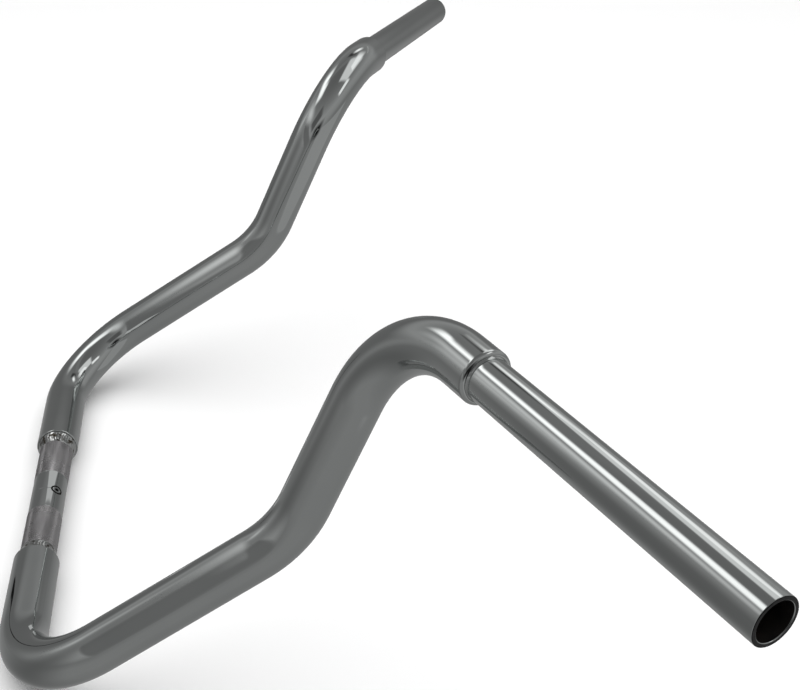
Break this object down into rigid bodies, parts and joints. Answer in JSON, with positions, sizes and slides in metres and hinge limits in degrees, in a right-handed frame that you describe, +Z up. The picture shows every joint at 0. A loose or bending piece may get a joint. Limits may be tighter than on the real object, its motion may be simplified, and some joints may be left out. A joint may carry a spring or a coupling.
{
  "type": "motorcycle handlebar",
  "caption": "Welded chrome motorcycle handlebar: thin knurled clamp section, fat bent risers, swept-back thin hand-grip tubes with open ends.",
  "frame": {"origin": "centre of the clamp section, on the clamp tube's axis", "axes": "+X along the clamp tube to the rider's left, +Y rearward to the rider, +Z up"},
  "size_m": [0.9588, 0.3859, 0.2821],
  "materials": {
    "chrome_tube": "polished smoke-toned chrome plate, fine knurling on the two clamp bands",
    "chrome_weld": "chrome plate over rippled fillet weld"
  },
  "bodies": {
    "root": {"centre_clamp_tube": "chrome_tube", "left_riser_tube": "chrome_tube", "right_riser_tube": "chrome_tube", "left_grip_tube": "chrome_tube", "right_grip_tube": "chrome_tube", "left_clamp_weld": "chrome_weld", "right_clamp_weld": "chrome_weld", "left_grip_weld": "chrome_weld", "right_grip_weld": "chrome_weld"}
  },
  "joints": []
}
